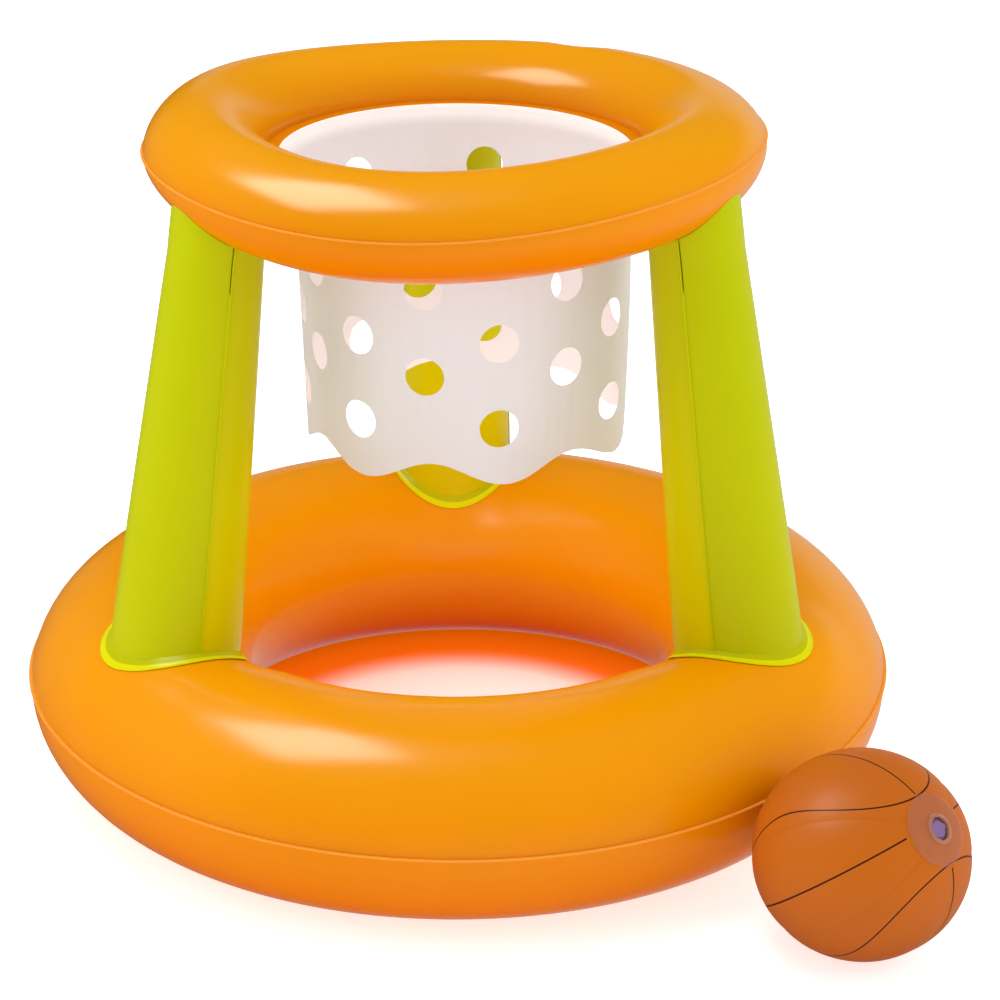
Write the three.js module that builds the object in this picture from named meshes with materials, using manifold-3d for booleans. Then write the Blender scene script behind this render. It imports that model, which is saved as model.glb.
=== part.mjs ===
// Inflatable basketball hoop that floats on a pool, with its small inflatable ball.
// Two rings of welded film, three tapered legs between them, a punched film net in the
// upper ring, and a ball of six gores. Every ring and the ball has a sunk inflation valve.
// Millimetres, +Z up. The origin is on the floor, in the middle of the set's footprint.
// The hoop's front, where its net shows between two legs, faces -Y.

import * as THREE from 'three';
import { mergeVertices } from 'three/addons/utils/BufferGeometryUtils.js';
import Module from 'manifold-3d';

const wasm = await Module();
wasm.setup();

const degrees = Math.PI / 180;
const full_turn = 2 * Math.PI;

// Film
const film = 1.0;
const gap = 0.3;
const overrun = 5;
const ring_segments = 36;

// Base ring: the big floating ring, with a flat worn under it where it stands
const base_outer_diameter = 670;
const base_tube_width = 168;
const base_tube_height = 156;
const base_lip = 2;
const base_stand_depth = 0.5;

// Rim: the small upper ring, welded a little above its middle
const rim_outer_diameter = 464;
const rim_tube_width = 88;
const rim_weld_height = 495;
const rim_height_above_weld = 36;
const rim_height_below_weld = 39;
const rim_lip = 1.5;
const rim_inner_flange = 10;

const base_section_steps = 8;
const rim_section_steps = 6;

// Legs: two film halves each, welded along both sides. A leg stands a little inside the middle
// of the base's tube, and leans in until it points a little outside the middle of the rim's tube.
const leg_names = ['leg_front_left', 'leg_front_right', 'leg_back'];
const leg_azimuths = [210 * degrees, 330 * degrees, 90 * degrees];
const leg_foot_radius = 47;
const leg_head_radius = 33;
const leg_foot_inset = 2;
const leg_aim_outset = 5.7;
const leg_foot_flare = 2.5;
const leg_flare_height = 14;
const leg_foot_reach = 40;
const leg_lip = 1.6;
const leg_seam_offset = 4;
const leg_segments = 20;
const foot_flange_radius = 53;
const foot_flange_width_inside = 3.5;
const head_flange_width = 7;
const flange_reach_share = 0.68;
const air_hole_radius = 10;

// Net: a sleeve of film with a top band, punched holes and a scalloped hem
const net_band_thickness = 1.6;
const net_band_lap = 5.5;
const net_neck_draw_in = 9.2;
const net_neck_drop = 42;
const net_hem_draw_in = 14.2;
const net_hem_height = 283.3;
const net_scallop_depth = 15.6;
const net_fold_depth = 3;
const net_lobes = 7;
const net_first_lobe = 14.4 * degrees;
const net_steps_per_lobe = 6;
const net_rows_below_neck = 2;
const net_hole_radius = 14.5;
const net_hole_sides = 10;
const net_hole_pitch = 65;
const net_lobe_column_drop = 44.5;
const net_lobe_column_rows = 3;
const net_crest_column_drop = 74;
const net_crest_column_rows = 2;

// Ball: slightly flattened, standing on the floor beside the hoop
const ball_width = 154;
const ball_height = 148;
const ball_stand_depth = 0.5;
const ball_clearance = 10.9;
const ball_azimuth = -48.36 * degrees;
const ball_gores = 6;
const ball_gore_turn = 24.6 * degrees;
const ball_steps_around = 24;
const ball_steps_down = 10;
const ball_gore_end_radius = 20;
const ball_cap_radius = 29;
const ball_valve_azimuth = -42.6 * degrees;
const ball_valve_elevation = 35.3 * degrees;

// Inflation valve: a collar with a well, a stem sunk in it, an inner flap and a stopper
const valve_flange_radius = 17;
const valve_patch_radius = 20;
const valve_well_radius = 8.2;
const valve_well_wall = 1;
const valve_well_depth = 15;
const stem_height = 10.5;
const stem_sunk = 2.5;
const stem_waist_radius = 6;
const stem_flange_height = 2;
const stem_bore_radius = 3.2;
const flap_radius = 4.6;
const flap_thickness = 0.6;
const cap_radius = 6.2;
const cap_thickness = 1.6;
const cap_tab_length = 1.4;
const cap_tab_width = 4;
const plug_length = 6;
const plug_tip_radius = 2.4;
const valve_segments = 12;
const ring_valve_azimuth = 60 * degrees;

// Finishes
const orange_film = new THREE.MeshStandardMaterial({ color: 0xf59a0c, roughness: 0.32, metalness: 0 });
const lime_film = new THREE.MeshStandardMaterial({ color: 0xc6cc0a, roughness: 0.34, metalness: 0 });
const bright_weld = new THREE.MeshStandardMaterial({ color: 0xefe70c, roughness: 0.36, metalness: 0 });
const net_film = new THREE.MeshStandardMaterial({ color: 0xe9e2de, roughness: 0.4, metalness: 0 });
const ball_film = new THREE.MeshStandardMaterial({ color: 0xd76f1c, roughness: 0.34, metalness: 0 });
const clear_film = new THREE.MeshStandardMaterial({ color: 0xdcb9a0, roughness: 0.2, metalness: 0 });
const clear_moulding = new THREE.MeshStandardMaterial({ color: 0xdfe2ea, roughness: 0.12, metalness: 0 });

// A geometry of three.js as a closed solid
function solid(geometry) {
  const bare = new THREE.BufferGeometry();
  bare.setAttribute('position', geometry.getAttribute('position'));
  if (geometry.index) bare.setIndex(geometry.index);
  const merged = mergeVertices(bare);
  const corners = merged.index.array;
  const kept = [];
  for (let i = 0; i < corners.length; i += 3) {
    const [a, b, c] = corners.slice(i, i + 3);
    if (a !== b && b !== c && c !== a) kept.push(a, b, c);
  }
  const vertProperties = Float32Array.from(merged.getAttribute('position').array);
  const triVerts = Uint32Array.from(kept);
  return new wasm.Manifold(new wasm.Mesh({ numProp: 3, vertProperties, triVerts }));
}

function namedMesh(name, body, material) {
  const { vertProperties, triVerts } = body.getMesh();
  const geometry = new THREE.BufferGeometry();
  geometry.setAttribute('position', new THREE.BufferAttribute(vertProperties, 3));
  geometry.setIndex(new THREE.BufferAttribute(triVerts, 1));
  const faceted = geometry.toNonIndexed();
  faceted.computeVertexNormals();
  const mesh = new THREE.Mesh(faceted, material);
  mesh.name = name;
  return mesh;
}

// A closed profile of [radius, height] pairs, counter-clockwise, turned about Z
function turned(profile, segments, start = 0) {
  const points = profile.map(([radius, height]) => new THREE.Vector2(radius, height));
  points.push(points[0].clone());
  return new THREE.LatheGeometry(points, segments, start, full_turn).rotateX(Math.PI / 2);
}

function drum(radius, low, high, segments) {
  return solid(turned([[0, low], [radius, low], [radius, high], [0, high]], segments));
}

function box(low, high) {
  const size = high.clone().sub(low);
  const middle = low.clone().add(high).multiplyScalar(1 / 2);
  return new THREE.BoxGeometry(size.x, size.y, size.z).translate(middle.x, middle.y, middle.z);
}

// The matrix of a frame that stands at a point, its Z along a direction and its X level
function standingFrame(point, direction) {
  const z = direction.clone().normalize();
  const x = new THREE.Vector3(-z.y, z.x, 0).normalize();
  const y = z.clone().cross(x);
  return new THREE.Matrix4().makeBasis(x, y, z).setPosition(point);
}

function placed(body, matrix) {
  return body.transform(matrix.elements);
}

// The two inflated rings
const base = {
  name: 'base',
  half_width: base_tube_width / 2,
  above: base_tube_height / 2,
  below: base_tube_height / 2,
  weld_height: base_tube_height / 2 - base_stand_depth,
  radius: base_outer_diameter / 2 - base_lip - base_tube_width / 2,
  stand_depth: base_stand_depth,
  outer_lip: base_lip,
  inner_lip: base_lip,
  section_steps: base_section_steps,
};
const rim = {
  name: 'rim',
  half_width: rim_tube_width / 2,
  above: rim_height_above_weld,
  below: rim_height_below_weld,
  weld_height: rim_weld_height,
  radius: rim_outer_diameter / 2 - rim_lip - rim_tube_width / 2,
  stand_depth: 0,
  outer_lip: rim_lip,
  inner_lip: rim_inner_flange,
  section_steps: rim_section_steps,
};

// The section's angles above the weld or below it, from the outer weld to the inner one,
// both left out. Under the ring a flat chord, where it stands, takes the lowest point's place.
function arcAngles(ring, side) {
  const stand = side < 0 ? Math.acos(1 - ring.stand_depth / ring.below) : 0;
  const quarter = ring.section_steps / 2;
  const step = (Math.PI / 2 - stand) / quarter;
  const angles = [];
  for (let i = 1; i <= quarter; i++) angles.push(side * step * i);
  for (let i = stand > 0 ? 0 : 1; i < quarter; i++) angles.push(side * (Math.PI / 2 + stand + step * i));
  return angles;
}

function sectionPoint(ring, angle, offset = 0) {
  const reach = Math.sin(angle) < 0 ? ring.below : ring.above;
  return [
    ring.radius + (ring.half_width + offset) * Math.cos(angle),
    ring.weld_height + (reach + offset) * Math.sin(angle),
  ];
}

// The whole ring, full inside, with its surface moved out by an offset
function ringBody(ring, offset) {
  const angles = [0, ...arcAngles(ring, 1), Math.PI, ...arcAngles(ring, -1).reverse()];
  return solid(turned(angles.map((angle) => sectionPoint(ring, angle, offset)), ring_segments));
}

// The point of the faceted section at a height just off the weld
function besideWeld(ring, weld_angle, next_angle, height, offset) {
  const [weld_radius, weld_height] = sectionPoint(ring, weld_angle, offset);
  const [next_radius, next_height] = sectionPoint(ring, next_angle, offset);
  return [THREE.MathUtils.mapLinear(height, weld_height, next_height, weld_radius, next_radius), height];
}

// One half of a ring's film, above its weld or below it, with flat lips along both welds
function ringPanel(ring, side) {
  const near = ring.weld_height + side * gap / 2;
  const far = near + side * film;
  const outer = ring.radius + ring.half_width;
  const inner = ring.radius - ring.half_width;
  const angles = arcAngles(ring, side);
  const profile = [
    [outer + ring.outer_lip, near],
    [outer + ring.outer_lip, far],
    besideWeld(ring, 0, angles.at(0), far, 0),
    ...angles.map((angle) => sectionPoint(ring, angle)),
    besideWeld(ring, Math.PI, angles.at(-1), far, 0),
    [inner - ring.inner_lip, far],
    [inner - ring.inner_lip, near],
    besideWeld(ring, Math.PI, angles.at(-1), near, -film),
    ...angles.toReversed().map((angle) => sectionPoint(ring, angle, -film)),
    besideWeld(ring, 0, angles.at(0), near, -film),
  ];
  return solid(turned(side > 0 ? profile : profile.reverse(), ring_segments));
}

// A layer of film that lies on a body: body(offset) gives the body grown by the offset
function layer(body, from, to, cutter) {
  return body(to).intersect(cutter).subtract(body(from));
}

// Legs, modelled once at azimuth 0 and turned into place
const base_crest = base.weld_height + base.above;
const leg_foot = new THREE.Vector3(base.radius - leg_foot_inset, 0, base_crest);
const leg_aim = new THREE.Vector3(rim.radius + leg_aim_outset, 0, rim.weld_height);
const leg_rise = rim.weld_height - rim.below - leg_foot.z;
const leg_head = leg_foot.clone().lerp(leg_aim, leg_rise / (leg_aim.z - leg_foot.z));
const leg_length = leg_foot.distanceTo(leg_head);
const leg_tilt = Math.atan2(leg_foot.x - leg_head.x, leg_head.z - leg_foot.z);
const leg_frame = new THREE.Matrix4().makeRotationY(-leg_tilt).setPosition(leg_foot);

function legBody(offset) {
  const foot = leg_foot_radius + leg_foot_flare + offset;
  const head = leg_head_radius + offset;
  const top = leg_length + rim.below;
  const profile = [
    [0, -leg_foot_reach],
    [foot, -leg_foot_reach],
    [foot, 0],
    [leg_foot_radius + offset, leg_flare_height],
    [head, leg_length],
    [head, top],
    [0, top],
  ];
  return placed(solid(turned(profile, leg_segments)), leg_frame);
}

// Everything on one side of the leg's seam plane, or a slice beside it
function besideSeam(side, thickness) {
  const reach = foot_flange_radius + overrun;
  const near = leg_seam_offset + side * gap / 2;
  const far = near + side * thickness;
  return placed(solid(box(
    new THREE.Vector3(Math.min(near, far), -reach, -leg_foot_reach - overrun),
    new THREE.Vector3(Math.max(near, far), reach, leg_length + rim.below + overrun),
  )), leg_frame);
}

function legPanel(side) {
  const on_foot_flange = film + 2 * gap;
  const wall = legBody(0).subtract(legBody(-film)).intersect(besideSeam(side, 2 * foot_flange_radius));
  const lips = legBody(leg_lip).subtract(legBody(-film)).intersect(besideSeam(side, film));
  return wall.add(lips).subtract(ringBody(base, on_foot_flange)).subtract(ringBody(rim, gap));
}

// A weld flange: a ring of film that lies on the base or on the rim at the leg's end. At the
// foot it is turned outward and the leg stands on it, at the head it is turned in, out of sight.
function legFlange(ring, outer, inner, end) {
  const reach = flange_reach_share * outer;
  const disc = drum(outer, end - reach, end + reach, leg_segments);
  const hole = drum(inner, end - 2 * reach, end + 2 * reach, leg_segments);
  const cutter = placed(disc.subtract(hole), leg_frame);
  return layer((offset) => ringBody(ring, offset), gap, gap + film, cutter);
}

function makeLegs() {
  const foot_inner = leg_foot_radius - foot_flange_width_inside;
  const head_outer = leg_head_radius - film - gap;
  const head_inner = head_outer - head_flange_width;
  const pieces = {
    outer_panel: [legPanel(1), lime_film],
    inner_panel: [legPanel(-1), lime_film],
    foot_flange: [legFlange(base, foot_flange_radius, foot_inner, 0), bright_weld],
    head_flange: [legFlange(rim, head_outer, head_inner, leg_length), lime_film],
  };
  return leg_names.map((leg, i) => {
    const group = new THREE.Group();
    for (const [piece, [body, material]] of Object.entries(pieces)) {
      group.add(namedMesh(`${leg}_${piece}`, body, material));
    }
    group.rotation.z = leg_azimuths[i];
    return group;
  });
}

// The four parts of one inflation valve, in a frame whose Z leaves the film
function makeStem() {
  const radius = valve_well_radius - gap;
  const top = -stem_sunk;
  const bottom = top - stem_height;
  return solid(turned([
    [stem_bore_radius, bottom],
    [radius, bottom],
    [radius, bottom + stem_flange_height],
    [stem_waist_radius, bottom + stem_flange_height],
    [stem_waist_radius, top - stem_flange_height],
    [radius, top - stem_flange_height],
    [radius, top],
    [stem_bore_radius, top],
  ], valve_segments));
}

function makeFlap() {
  const top = -stem_sunk - stem_height - gap;
  return drum(flap_radius, top - flap_thickness, top, valve_segments);
}

function makeStopper() {
  const bottom = -stem_sunk + gap;
  const top = bottom + cap_thickness;
  const plug = stem_bore_radius - gap;
  const turned_part = solid(turned([
    [0, bottom - plug_length],
    [plug_tip_radius, bottom - plug_length],
    [plug, bottom - plug_length / 2],
    [plug, bottom],
    [cap_radius, bottom],
    [cap_radius, top],
    [0, top],
  ], valve_segments));
  const tab = solid(box(
    new THREE.Vector3(0, -cap_tab_width / 2, bottom),
    new THREE.Vector3(cap_radius + cap_tab_length, cap_tab_width / 2, top),
  ));
  return turned_part.add(tab);
}

// The collar's flange lies in a hole of the film and its well hangs inside
function makeCollar(body, frame) {
  const tube_radius = valve_well_radius + valve_well_wall;
  const disc = placed(drum(valve_flange_radius, -valve_well_depth, overrun, valve_segments), frame);
  const tube = placed(drum(tube_radius, -valve_well_depth, overrun, valve_segments), frame);
  const bottom = -valve_well_depth - overrun;
  const well = placed(drum(valve_well_radius, bottom, 2 * overrun, valve_segments), frame);
  return layer(body, -film, 0, disc).add(tube.intersect(body(0))).subtract(well);
}

function makePatch(body, frame, radius) {
  const hole_radius = valve_well_radius + gap;
  const disc = placed(drum(radius, -valve_well_depth, overrun, 2 * valve_segments), frame);
  const hole = placed(drum(hole_radius, -valve_well_depth - overrun, 2 * overrun, valve_segments), frame);
  return layer(body, gap, gap + film, disc.subtract(hole));
}

function makeValve(name, body, frame, patch_radius) {
  const pieces = [
    namedMesh(`${name}_valve_patch`, makePatch(body, frame, patch_radius), clear_film),
    namedMesh(`${name}_valve_collar`, makeCollar(body, frame), clear_film),
  ];
  for (const [piece, part] of [['stem', makeStem()], ['flap', makeFlap()], ['stopper', makeStopper()]]) {
    const mesh = namedMesh(`${name}_valve_${piece}`, part, clear_moulding);
    mesh.applyMatrix4(frame);
    pieces.push(mesh);
  }
  return pieces;
}

// The hole in a panel that a valve's flange fills
function valveHole(frame) {
  return placed(drum(valve_flange_radius + gap, -valve_well_depth, 2 * overrun, valve_segments), frame);
}

// Where a ring's valve sits: low on its upper film, in the middle between the section's first
// two points, on the side that faces away from the hoop's front
function ringValveFrame(ring) {
  const section = arcAngles(ring, 1).map((angle) => new THREE.Vector2(...sectionPoint(ring, angle)));
  const [low, high] = section;
  const middle = low.clone().lerp(high, 1 / 2);
  const point = new THREE.Vector3(middle.x, 0, middle.y);
  const normal = new THREE.Vector3(high.y - low.y, 0, low.x - high.x);
  const turn = new THREE.Matrix4().makeRotationZ(ring_valve_azimuth);
  return standingFrame(point.applyMatrix4(turn), normal.applyMatrix4(turn));
}

function makeRing(ring) {
  const frame = ringValveFrame(ring);
  let upper = ringPanel(ring, 1).subtract(valveHole(frame));
  if (ring === base) {
    const air_hole = drum(air_hole_radius, -leg_foot_reach, overrun, valve_segments);
    for (const azimuth of leg_azimuths) {
      const turn = new THREE.Matrix4().makeRotationZ(azimuth).multiply(leg_frame);
      upper = upper.subtract(placed(air_hole, turn));
    }
  }
  return [
    namedMesh(`${ring.name}_upper_panel`, upper, orange_film),
    namedMesh(`${ring.name}_lower_panel`, ringPanel(ring, -1), orange_film),
    ...makeValve(ring.name, (offset) => ringBody(ring, offset), frame, valve_patch_radius),
  ];
}

// Net
const net_band_outer = rim.radius - rim.half_width - rim.inner_lip - gap;
const net_band_inner = net_band_outer - net_band_thickness;
const net_band_bottom = rim.weld_height - gap / 2 - film - gap - film;
const net_neck_radius = net_band_outer - net_neck_draw_in;
const net_hem_radius = net_band_outer - net_hem_draw_in;

function makeNetBand() {
  const collar_top = net_band_bottom + film;
  const top = rim.weld_height + gap / 2 + film;
  const lap = net_band_outer + net_band_lap;
  return solid(turned([
    [net_band_inner, net_band_bottom],
    [lap, net_band_bottom],
    [lap, collar_top],
    [net_band_outer, collar_top],
    [net_band_outer, top],
    [net_band_inner, top],
  ], ring_segments));
}

// The sleeve's outer radius at a drop below its top
function netRadius(drop, length) {
  const { mapLinear } = THREE.MathUtils;
  if (drop < net_neck_drop) return mapLinear(drop, 0, net_neck_drop, net_band_outer, net_neck_radius);
  return mapLinear(drop, net_neck_drop, length, net_neck_radius, net_hem_radius);
}

// The sleeve hangs straight, then its hem is pulled into lobes and its wall into soft folds
function makeNetSleeve() {
  const top = net_band_bottom - gap;
  const length = top - net_hem_height;
  const drops = [0, net_neck_drop];
  for (let i = 1; i <= net_rows_below_neck; i++) {
    drops.push(net_neck_drop + (length - net_neck_drop) * i / net_rows_below_neck);
  }
  const inside = drops.map((drop) => [netRadius(drop, length) - film, top - drop]);
  const outside = drops.map((drop) => [netRadius(drop, length), top - drop]);
  const profile = [...inside, ...outside.reverse()];
  const sleeve = turned(profile, net_lobes * net_steps_per_lobe, net_first_lobe);
  const place = sleeve.getAttribute('position');
  for (let i = 0; i < place.count; i++) {
    const point = new THREE.Vector3().fromBufferAttribute(place, i);
    const from_front = Math.atan2(point.x, -point.y);
    const lobe = Math.cos(net_lobes * (from_front - net_first_lobe));
    const hang = (top - point.z) / length;
    const radius = Math.hypot(point.x, point.y);
    const pushed = radius + net_fold_depth / 2 * lobe * hang;
    const drop = hang * (length + net_scallop_depth / 2 * lobe);
    place.setXYZ(i, point.x * pushed / radius, point.y * pushed / radius, top - drop);
  }
  return solid(sleeve);
}

function makeNet() {
  const radius = net_hole_radius;
  const hole = new THREE.CylinderGeometry(radius, radius, net_band_outer, net_hole_sides);
  hole.translate(0, -net_band_outer, 0);
  const columns = [
    [net_first_lobe, net_lobe_column_drop, net_lobe_column_rows],
    [net_first_lobe + Math.PI / net_lobes, net_crest_column_drop, net_crest_column_rows],
  ];
  let sleeve = makeNetSleeve();
  for (let lobe = 0; lobe < net_lobes; lobe++) {
    for (const [start, drop, rows] of columns) {
      for (let row = 0; row < rows; row++) {
        const turn = new THREE.Matrix4().makeRotationZ(start + lobe * full_turn / net_lobes);
        turn.setPosition(0, 0, rim.weld_height - drop - row * net_hole_pitch);
        sleeve = sleeve.subtract(placed(solid(hole.clone()), turn));
      }
    }
  }
  return [
    namedMesh('net_top_band', makeNetBand(), net_film),
    namedMesh('net_sleeve', sleeve, net_film),
  ];
}

// Ball. Its poles are its valve and the point opposite; the gores run from pole to pole.
const ball_radius = ball_width / 2;
const ball_from_hoop = base_outer_diameter / 2 + ball_clearance + ball_radius;
const ball_centre = new THREE.Vector3(
  ball_from_hoop * Math.cos(ball_azimuth),
  ball_from_hoop * Math.sin(ball_azimuth),
  ball_height / 2 - ball_stand_depth,
);
const ball_pole = new THREE.Vector3(
  Math.cos(ball_valve_elevation) * Math.cos(ball_valve_azimuth),
  Math.cos(ball_valve_elevation) * Math.sin(ball_valve_azimuth),
  Math.sin(ball_valve_elevation),
);
const ball_squash = new THREE.Matrix4().makeScale(1, 1, ball_height / ball_width);
const ball_frame = new THREE.Matrix4()
  .makeTranslation(ball_centre)
  .multiply(ball_squash)
  .multiply(standingFrame(new THREE.Vector3(), ball_pole));

function ballBody(offset) {
  const radius = ball_radius + offset;
  const profile = [];
  for (let i = 0; i <= ball_steps_down; i++) {
    const angle = Math.PI * i / ball_steps_down;
    profile.push([radius * Math.sin(angle), -radius * Math.cos(angle)]);
  }
  return placed(solid(turned(profile, ball_steps_around, ball_gore_turn)), ball_frame);
}

// One sixth of the ball's directions, as a wedge round its pole axis, less half a gap each side
function goreWedge(index) {
  const reach = 2 * ball_radius;
  const width = full_turn / ball_gores;
  const apex = gap / 2 / Math.sin(width / 2);
  const shape = new THREE.Shape();
  const middle = ball_gore_turn + Math.PI / 2 + (index + 1 / 2) * width;
  const tip = new THREE.Vector2(apex * Math.cos(middle), apex * Math.sin(middle));
  shape.moveTo(tip.x, tip.y);
  for (const edge of [middle - width / 2, middle + width / 2]) {
    shape.lineTo(tip.x + reach * Math.cos(edge), tip.y + reach * Math.sin(edge));
  }
  const wedge = new THREE.ExtrudeGeometry(shape, { depth: 2 * reach, bevelEnabled: false });
  return placed(solid(wedge.translate(0, 0, -reach)), ball_frame);
}

// The floor under the ball, which its lowest film lies flat on
function ballFloor() {
  const low = ball_centre.clone().addScalar(-2 * ball_width);
  const high = ball_centre.clone().addScalar(2 * ball_width).setZ(0);
  return solid(box(low, high));
}

function makeBall() {
  const squashed_pole = new THREE.Vector3(0, 0, ball_radius).applyMatrix4(ball_frame);
  const far_pole = new THREE.Vector3(0, 0, -ball_radius).applyMatrix4(ball_frame);
  const flatness = (ball_width / ball_height) ** 2;
  const normal = ball_pole.clone().setZ(ball_pole.z * flatness * ball_height / ball_width);
  const valve_frame = standingFrame(squashed_pole, normal);
  const far_frame = standingFrame(far_pole, normal.clone().negate());
  const ends = drum(ball_gore_end_radius, -2 * ball_radius, 2 * ball_radius, 2 * valve_segments);
  const shell = ballBody(0).subtract(ballBody(-film));
  const skin = shell.subtract(placed(ends, ball_frame)).subtract(ballFloor());
  const pieces = [];
  for (let i = 0; i < ball_gores; i++) {
    pieces.push(namedMesh(`ball_panel_${i + 1}`, skin.intersect(goreWedge(i)), ball_film));
  }
  const cap = placed(drum(ball_cap_radius, -valve_well_depth, overrun, 2 * valve_segments), far_frame);
  pieces.push(namedMesh('ball_far_cap', layer(ballBody, gap, gap + film, cap), ball_film));
  return [...pieces, ...makeValve('ball', ballBody, valve_frame, ball_cap_radius)];
}

const hoop_and_ball = new THREE.Group();
hoop_and_ball.add(...makeRing(base), ...makeRing(rim), ...makeLegs(), ...makeNet(), ...makeBall());

// The origin moves from under the hoop's middle to the middle of the whole footprint
const footprint = new THREE.Box3().setFromObject(hoop_and_ball, true);
const footprint_middle = footprint.getCenter(new THREE.Vector3());
hoop_and_ball.position.set(-footprint_middle.x, -footprint_middle.y, 0);

const part = new THREE.Group();
part.add(hoop_and_ball);

export default part;
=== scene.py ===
# A floating basketball hoop of welded vinyl film, blown up with air, with its small ball beside it.
# Metres, +Z up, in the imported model's frame: the hoop's front faces -Y and the floor is z = 0.

import math
import bmesh
import bpy
from mathutils import Matrix, Vector, noise


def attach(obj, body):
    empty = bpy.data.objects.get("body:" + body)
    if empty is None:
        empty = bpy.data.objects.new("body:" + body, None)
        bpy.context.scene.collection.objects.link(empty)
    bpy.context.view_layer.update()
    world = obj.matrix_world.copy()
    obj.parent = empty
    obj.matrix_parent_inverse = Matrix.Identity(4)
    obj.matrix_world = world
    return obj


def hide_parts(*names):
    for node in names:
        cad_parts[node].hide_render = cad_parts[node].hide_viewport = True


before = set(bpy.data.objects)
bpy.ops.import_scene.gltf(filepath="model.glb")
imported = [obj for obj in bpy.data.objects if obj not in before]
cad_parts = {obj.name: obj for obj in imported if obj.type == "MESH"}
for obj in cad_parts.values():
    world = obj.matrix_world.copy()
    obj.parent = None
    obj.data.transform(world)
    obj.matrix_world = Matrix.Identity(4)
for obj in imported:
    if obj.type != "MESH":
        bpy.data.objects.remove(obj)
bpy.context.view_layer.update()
bpy.ops.object.select_all(action="DESELECT")

# The hoop's upright axis, and how flat the ball stands
hoop_axis = Vector((-0.011452, 0.028943, 0))
ball_squash = 148 / 154
ball_stretch = 154 / 148

# The studio: a white sweep, a camera a little above the hoop and straight before it. One softbox
# hangs close over it on the left, and the film mirrors it. Fills hang overhead and at both sides.
# The room is pale for soft light and a little dimmer in front, but dark overhead in reflections,
# with white paper low round the right.
bpy.ops.object.camera_add(
    location=(hoop_axis.x, -2.153557, 1.1017),
    rotation=(math.pi / 2 - 0.3862, 0, -0.0149),
)
camera = bpy.context.object
camera.name = "camera"
camera.data.lens = 109.0
camera.data.sensor_width = 36
bpy.context.scene.camera = camera
bpy.context.scene.view_settings.view_transform = "Standard"
bpy.context.scene.view_settings.look = "None"


# Shader nodes: a span of values mapped to another, and a sum of values or sockets
def mapped(tree, value, span, to=(0, 1), smooth=True):
    node = tree.nodes.new("ShaderNodeMapRange")
    node.interpolation_type = "SMOOTHSTEP" if smooth else "LINEAR"
    for socket, number in zip(("From Min", "From Max", "To Min", "To Max"), (*span, *to)):
        node.inputs[socket].default_value = number
    tree.links.new(value, node.inputs["Value"])
    return node.outputs["Result"]


def maths(tree, operation, *values):
    node = tree.nodes.new("ShaderNodeMath")
    node.operation = operation
    for socket, given in zip(node.inputs, values):
        if isinstance(given, (int, float)):
            socket.default_value = given
        else:
            tree.links.new(given, socket)
    return node.outputs[0]


world = bpy.data.worlds.new("white_room")
world.use_nodes = True
room = world.node_tree
direction = room.nodes.new("ShaderNodeSeparateXYZ")
room.links.new(room.nodes.new("ShaderNodeTexCoord").outputs["Generated"], direction.inputs[0])
low_paper = mapped(room, direction.outputs["Z"], (0.20, 0.30), (0.5, 0.0))
not_left = mapped(room, direction.outputs["X"], (-0.35, 0.15), (0.15, 1.0))
not_down = mapped(room, direction.outputs["Z"], (-0.92, -0.6), (0.1, 1.0))
mirrored = maths(room, "MULTIPLY_ADD", maths(room, "MULTIPLY", low_paper, not_down), not_left, 0.04)
front_dim = mapped(room, direction.outputs["Y"], (-1.0, 0.2), (0.62, 0.86), smooth=False)
by_ray = room.nodes.new("ShaderNodeMix")
room.links.new(room.nodes.new("ShaderNodeLightPath").outputs["Is Glossy Ray"], by_ray.inputs["Factor"])
room.links.new(front_dim, by_ray.inputs["A"])
room.links.new(mirrored, by_ray.inputs["B"])
room.nodes["Background"].inputs["Color"].default_value = (1, 0.995, 0.985, 1)
room.links.new(by_ray.outputs["Result"], room.nodes["Background"].inputs["Strength"])
bpy.context.scene.world = world


def soft_light(name, place, aim, width, length, power, seen_by_gloss=True, seen_by_matt=True):
    bpy.ops.object.light_add(type="AREA", location=place)
    light = bpy.context.object
    light.name = name
    light.data.shape = "RECTANGLE"
    light.data.size = width
    light.data.size_y = length
    light.data.energy = power
    light.rotation_euler = (Vector(aim) - Vector(place)).to_track_quat("-Z", "Y").to_euler()
    light.visible_glossy = seen_by_gloss
    light.visible_diffuse = seen_by_matt


soft_light(
    "overhead_softbox", (-0.62, -0.13, 1.4), (-0.33, -0.1, 0), 0.66, 0.66, 31, seen_by_matt=False,
)
soft_light("overhead_fill", (-0.3, -0.3, 2.6), (0, 0, 0.2), 1.2, 1.2, 14, seen_by_gloss=False)
soft_light("left_fill", (-1.7, -0.3, 0.8), (0, 0, 0.3), 1, 1, 3.5, seen_by_gloss=False)
soft_light("right_fill", (1.7, -0.3, 0.8), (0, 0, 0.3), 1, 1, 3.5, seen_by_gloss=False)

# A small lamp in the middle stands in for the light that comes through the film of the far side
bpy.ops.object.light_add(type="POINT", location=(hoop_axis.x, hoop_axis.y, 0.19))
inner_lamp = bpy.context.object
inner_lamp.name = "inner_lamp"
inner_lamp.data.shadow_soft_size = 0.06
inner_lamp.data.energy = 0.32
inner_lamp.visible_camera = False
inner_lamp.visible_glossy = False

bpy.ops.mesh.primitive_plane_add(size=30, location=(0, 0, -0.0006))
floor = bpy.context.object
floor.name = "floor"
floor.visible_glossy = False
floor_paper = bpy.data.materials.new("white_paper")
floor_paper.use_nodes = True
sheet = floor_paper.node_tree
paper = sheet.nodes["Principled BSDF"]
paper.inputs["Roughness"].default_value = 0.9
paper.inputs["Specular IOR Level"].default_value = 0.1
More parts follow.
